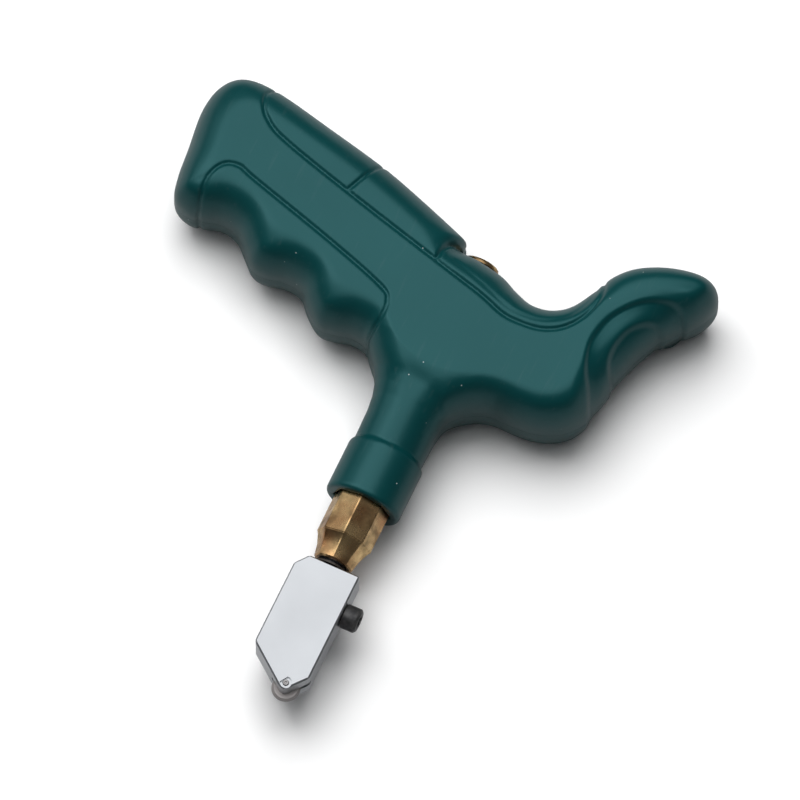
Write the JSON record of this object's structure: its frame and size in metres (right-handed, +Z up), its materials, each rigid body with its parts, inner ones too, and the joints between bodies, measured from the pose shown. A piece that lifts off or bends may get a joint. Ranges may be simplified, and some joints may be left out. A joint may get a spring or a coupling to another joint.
{
  "type": "glass cutter",
  "caption": "Pistol-grip oil-feed glass cutter: two-shell plastic handle with finger grip and thumb horn, brass oil barrel, swivelling steel head with a clamp screw and a small cutting wheel.",
  "frame": {"origin": "on the flat side face that the tool lies on, straight below the barrel's axis, 19.4 mm short of the saddle where the oil cap sits", "axes": "+Z is up, across the handle's thickness; +Y runs along the brass barrel from the cutting wheel towards the oil cap; +X points to the horn, -X to the grip"},
  "size_m": [0.1221, 0.1279, 0.025],
  "materials": {
    "green_plastic": "satin moulded, dark teal green",
    "brass": "turned and milled, tarnished in patches",
    "polished_steel": "polished and plated",
    "plated_steel": "plain turned, zinc plated",
    "spring_steel": "drawn wire and stamped rings",
    "black_oxide": "black oxide, semi-matt",
    "carbide": "ground tungsten carbide",
    "rubber": "moulded nitrile",
    "nylon": "natural nylon",
    "felt": "pressed wool felt"
  },
  "bodies": {
    "handle": {"handle_shell_upper": "green_plastic", "handle_shell_lower": "green_plastic", "shell_screw_1": "plated_steel", "shell_screw_2": "plated_steel", "shell_screw_3": "plated_steel", "shell_screw_4": "plated_steel", "oil_barrel": "brass", "barrel_retaining_ring": "spring_steel", "valve_seat": "brass", "stem_seal": "rubber"},
    "cap_seal": {"oil_cap_seal": "rubber"},
    "oil_cap": {"oil_cap": "brass"},
    "valve": {"valve_poppet": "rubber", "stem_retaining_ring": "spring_steel", "valve_spring": "spring_steel"},
    "head": {"stem": "plated_steel", "swivel_washer": "nylon", "head_body": "polished_steel", "oil_wick": "felt", "wheel_axle": "plated_steel"},
    "wheel": {"cutting_wheel": "carbide"},
    "clamp_pad": {"clamp_pad": "brass"},
    "clamp_screw": {"clamp_screw": "black_oxide"}
  },
  "joints": [
    {"name": "oil_cap_lift", "type": "slide", "parent": "handle", "child": "cap_seal", "axis": [0, 1, 0], "range_m": [0, 0.0045]},
    {"name": "oil_cap_turn", "type": "hinge", "parent": "cap_seal", "child": "oil_cap", "pos_m": [0, 0.0197, 0.0125], "axis": [0, 1, 0], "range_deg": [0, 2160]},
    {"name": "head_press", "type": "slide", "parent": "handle", "child": "valve", "axis": [0, 1, 0], "range_m": [0, 0.0006], "stiffness_N_per_m": 1500, "springref_m": -0.001, "deforming": ["valve_spring"]},
    {"name": "head_swivel", "type": "hinge", "parent": "valve", "child": "head", "pos_m": [0, -0.0584, 0.0125], "axis": [0, 1, 0], "range_deg": [-15, 15]},
    {"name": "wheel_spin", "type": "hinge", "parent": "head", "child": "wheel", "pos_m": [0.003, -0.0875, 0.0125], "axis": [0, 0, 1], "continuous": true},
    {"name": "clamp_screw_travel", "type": "slide", "parent": "head", "child": "clamp_pad", "axis": [1, 0, 0], "range_m": [0, 0.001]},
    {"name": "clamp_screw_turn", "type": "hinge", "parent": "clamp_pad", "child": "clamp_screw", "pos_m": [0.0073, -0.0668, 0.0125], "axis": [1, 0, 0], "range_deg": [0, 720]}
  ],
  "couplings": [
    {"joint": "oil_cap_turn", "follows": "oil_cap_lift", "rad_per_m": 8377.5},
    {"joint": "clamp_screw_turn", "follows": "clamp_screw_travel", "rad_per_m": 12566}
  ]
}
